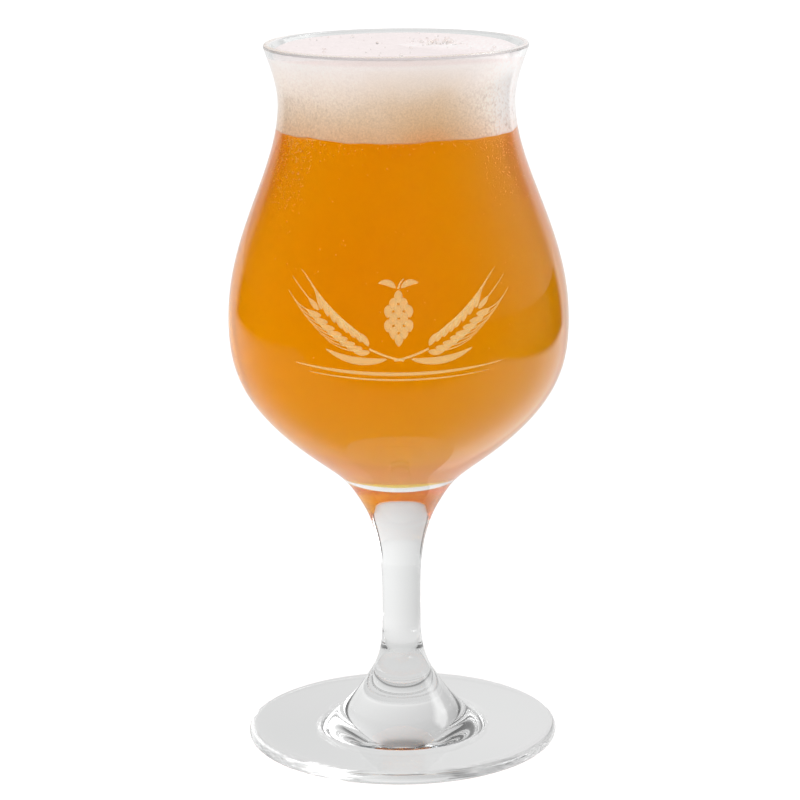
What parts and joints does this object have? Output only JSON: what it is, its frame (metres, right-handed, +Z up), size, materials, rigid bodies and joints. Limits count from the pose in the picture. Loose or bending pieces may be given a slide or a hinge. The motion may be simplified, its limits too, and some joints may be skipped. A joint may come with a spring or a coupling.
{
  "type": "stemmed beer glass",
  "caption": "Stemmed beer glass: a thin tulip bowl with a drawn-in neck and turned-out lip, on a solid waisted stem and a round hollowed foot.",
  "frame": {"origin": "on the axis of the glass, in the plane that it stands on", "axes": "+Z up along the axis of the glass; X and Y are alike, because the glass is round"},
  "size_m": [0.0884, 0.0884, 0.185],
  "materials": {
    "clear_glass": "clear, fire-polished"
  },
  "bodies": {
    "root": {"bowl": "clear_glass", "stem": "clear_glass", "foot": "clear_glass"}
  },
  "joints": []
}
